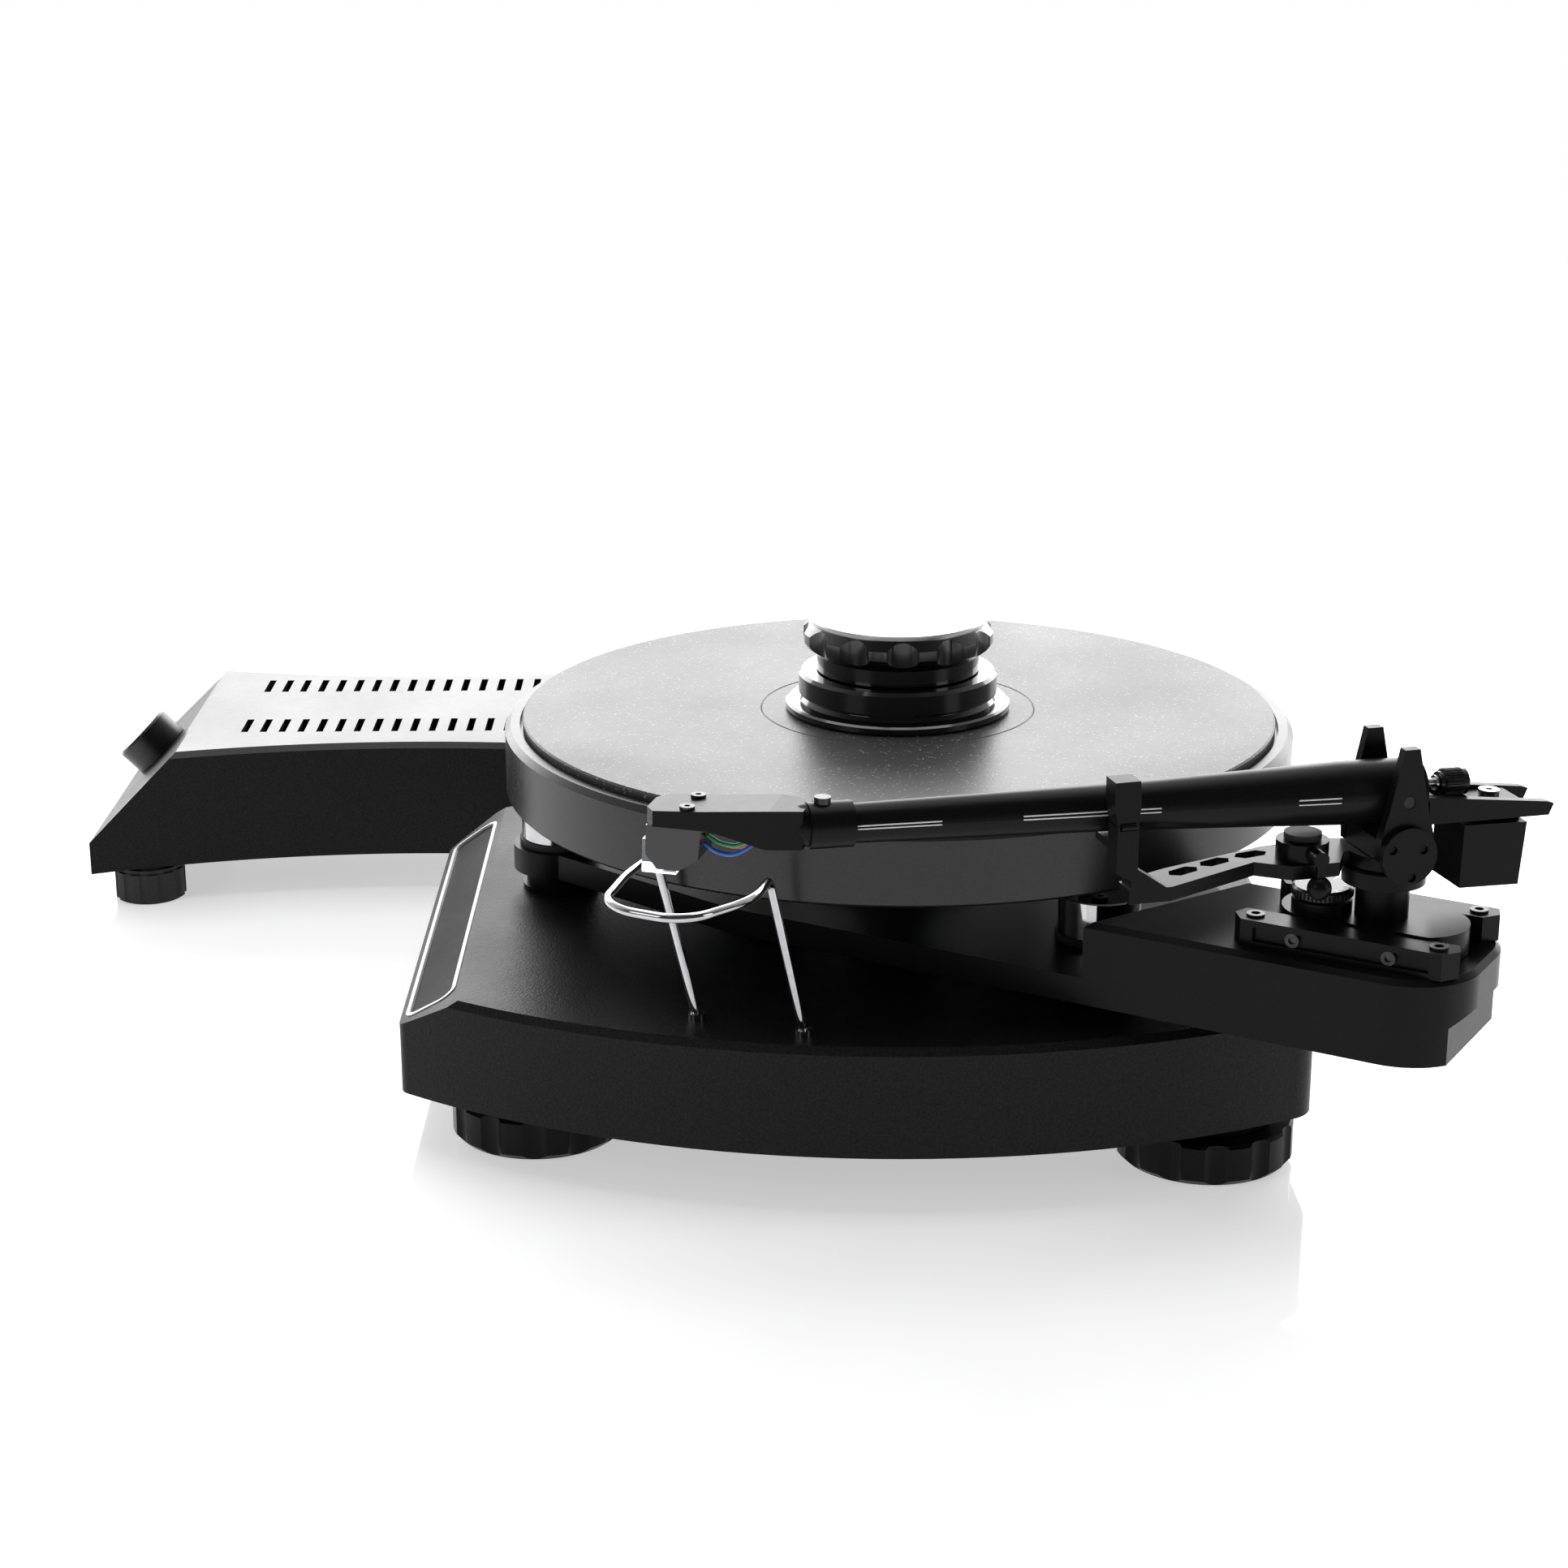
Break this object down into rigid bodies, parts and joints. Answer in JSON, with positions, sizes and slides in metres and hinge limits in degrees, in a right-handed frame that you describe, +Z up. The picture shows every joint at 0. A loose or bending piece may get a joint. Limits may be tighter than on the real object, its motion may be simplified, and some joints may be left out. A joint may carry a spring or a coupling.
{
  "type": "turntable record player",
  "caption": "Suspended belt-drive record player: grey-matted platter with screw-on record clamp, black nine-inch arm on a sliding base, fluted levelling feet and a separate speed controller box",
  "frame": {"origin": "centre of the whole set's bounding box on the standing surface", "axes": "+Z up; -Y towards the long front slope of the deck; +X towards the tonearm side, so the controller stands at -X"},
  "size_m": [0.5212, 0.5394, 0.1659],
  "materials": {
    "deck_paint": "fine textured black powder coat, semi-matt",
    "panel_black": "fine textured black panel, matt",
    "polished_metal": "polished bevel line",
    "steel": "turned stainless steel",
    "soft_rubber": "black elastomer",
    "black_plastic": "moulded black plastic",
    "black_metal": "satin black anodised aluminium",
    "chrome_plate": "bright chrome plate",
    "brass_plain": "turned brass",
    "mat_grey": "speckled grey carbon mat, matt",
    "gloss_black": "polished black",
    "silver_grey": "satin silver-grey disc",
    "clear_plastic": "clear smoke plastic",
    "lead_white": "coloured lead insulation",
    "board_green": "printed circuit board with transformer"
  },
  "bodies": {
    "deck": {"base_plate": "deck_paint", "front_plate": "panel_black", "front_border": "polished_metal", "foot_studs": "steel", "foot_pads": "soft_rubber", "power_socket": "black_plastic", "isolation_pillars": "black_metal", "isolation_cups": "chrome_plate", "isolation_plugs": "black_metal", "isolation_rings": "soft_rubber", "sub_chassis": "black_metal", "arm_board": "black_metal", "bearing_housing": "steel", "thrust_ball": "steel", "motor_can": "black_metal", "drive_belt": "soft_rubber", "wire_guard": "chrome_plate", "arm_rails": "black_metal", "rail_screws": "steel"},
    "foot_a": {"foot_ring_1": "black_metal"},
    "foot_b": {"foot_ring_2": "black_metal"},
    "foot_c": {"foot_ring_3": "black_metal"},
    "foot_d": {"foot_ring_4": "black_metal"},
    "platter_group": {"platter": "black_metal", "sub_platter": "black_plastic", "platter_mat": "mat_grey", "spindle_shaft": "steel"},
    "pulley": {"motor_pulley": "brass_plain"},
    "clamp_body": {"clamp_base": "gloss_black"},
    "clamp_head": {"clamp_knob": "gloss_black", "clamp_cap": "silver_grey"},
    "carriage": {"arm_carriage": "black_metal", "dial_stand": "black_metal"},
    "dial": {"anti_skate_dial": "black_metal"},
    "column": {"arm_column": "black_metal", "rest_bracket": "black_metal", "lift_block": "black_metal"},
    "latch": {"rest_latch": "black_metal"},
    "cue": {"cue_lever": "black_metal"},
    "pad": {"lift_pad": "soft_rubber"},
    "yoke": {"arm_yoke": "black_metal", "bearing_cover": "black_metal"},
    "arm": {"arm_tube": "black_metal", "bearing_pins": "steel", "headshell": "black_metal", "head_screws": "steel", "cartridge": "gloss_black", "stylus_guard": "clear_plastic", "cartridge_leads": "lead_white", "rear_rails": "black_metal", "lead_screw": "steel"},
    "wheel": {"thumbwheel": "steel"},
    "weight": {"counterweight": "black_metal", "weight_screw": "steel"},
    "controller": {"controller_case": "deck_paint", "controller_lid": "deck_paint", "controller_feet": "soft_rubber", "controller_board": "board_green", "controller_sockets": "black_plastic"},
    "controller_dial": {"controller_knob": "black_metal"}
  },
  "joints": [
    {"name": "platter_spin", "type": "hinge", "parent": "deck", "child": "platter_group", "pos_m": [0.04994, 0.06726, 0.116], "axis": [0, 0, -1], "continuous": true},
    {"name": "pulley_spin", "type": "hinge", "parent": "deck", "child": "pulley", "pos_m": [-0.04806, 0.01926, 0.094], "axis": [0, 0, -1], "continuous": true},
    {"name": "clamp_lift", "type": "slide", "parent": "platter_group", "child": "clamp_body", "axis": [0, 0, 1], "range_m": [0, 0.06]},
    {"name": "clamp_turn", "type": "hinge", "parent": "clamp_body", "child": "clamp_head", "pos_m": [0.04994, 0.06726, 0.15], "axis": [0, 0, -1], "range_deg": [-360, 360]},
    {"name": "carriage_slide", "type": "slide", "parent": "deck", "child": "carriage", "axis": [0.521, 0.8536, 0], "range_m": [-0.008, 0.008]},
    {"name": "dial_turn", "type": "hinge", "parent": "carriage", "child": "dial", "pos_m": [0.20082, 0.19725, 0.112], "axis": [0, 0, 1], "range_deg": [-150, 150]},
    {"name": "column_height", "type": "slide", "parent": "carriage", "child": "column", "axis": [0, 0, 1], "range_m": [0, 0.008]},
    {"name": "cue_turn", "type": "hinge", "parent": "column", "child": "cue", "pos_m": [0.22667, 0.19086, 0.1306], "axis": [-0.969, -0.247, 0], "range_deg": [0, 91]},
    {"name": "pad_lift", "type": "slide", "parent": "column", "child": "pad", "axis": [0, 0, 1], "range_m": [0, 0.0015]},
    {"name": "latch_turn", "type": "hinge", "parent": "column", "child": "latch", "pos_m": [0.24578, 0.12762, 0.1481], "axis": [-0.247, 0.969, 0], "range_deg": [0, 90]},
    {"name": "arm_swing", "type": "hinge", "parent": "column", "child": "yoke", "pos_m": [0.20614, 0.21556, 0.135], "axis": [0, 0, -1], "range_deg": [0, 40]},
    {"name": "arm_lift", "type": "hinge", "parent": "yoke", "child": "arm", "pos_m": [0.20614, 0.21556, 0.147], "axis": [-0.969, -0.247, 0], "range_deg": [0, 6]},
    {"name": "weight_slide", "type": "slide", "parent": "arm", "child": "weight", "axis": [0.2469, -0.9687, 0.0244], "range_m": [-0.005, 0.005]},
    {"name": "wheel_turn", "type": "hinge", "parent": "arm", "child": "wheel", "pos_m": [0.20082, 0.23642, 0.14797], "axis": [0.2469, -0.9687, 0.0244], "range_deg": [-1800, 1800]},
    {"name": "controller_slide", "type": "slide", "parent": "deck", "child": "controller", "axis": [-1, 0, 0], "range_m": [0, 0.05]},
    {"name": "controller_knob_turn", "type": "hinge", "parent": "controller", "child": "controller_dial", "pos_m": [-0.17807, -0.25124, 0.0485], "axis": [0, -0.7071, 0.7071], "range_deg": [-150, 150]},
    {"name": "foot_a_turn", "type": "hinge", "parent": "deck", "child": "foot_a", "pos_m": [0.13253, -0.06274, 0.01], "axis": [0, 0, 1], "range_deg": [-360, 360]},
    {"name": "foot_b_turn", "type": "hinge", "parent": "deck", "child": "foot_b", "pos_m": [-0.03266, -0.06274, 0.01], "axis": [0, 0, 1], "range_deg": [-360, 360]},
    {"name": "foot_c_turn", "type": "hinge", "parent": "deck", "child": "foot_c", "pos_m": [0.15793, 0.16926, 0.01], "axis": [0, 0, 1], "range_deg": [-360, 360]},
    {"name": "foot_d_turn", "type": "hinge", "parent": "deck", "child": "foot_d", "pos_m": [-0.05806, 0.16926, 0.01], "axis": [0, 0, 1], "range_deg": [-360, 360]}
  ],
  "couplings": [
    {"joint": "pulley_spin", "follows": "platter_spin", "ratio": 8.1667},
    {"joint": "cue_turn", "follows": "pad_lift", "rad_per_m": 1047.2},
    {"joint": "wheel_turn", "follows": "weight_slide", "rad_per_m": 5712}
  ]
}
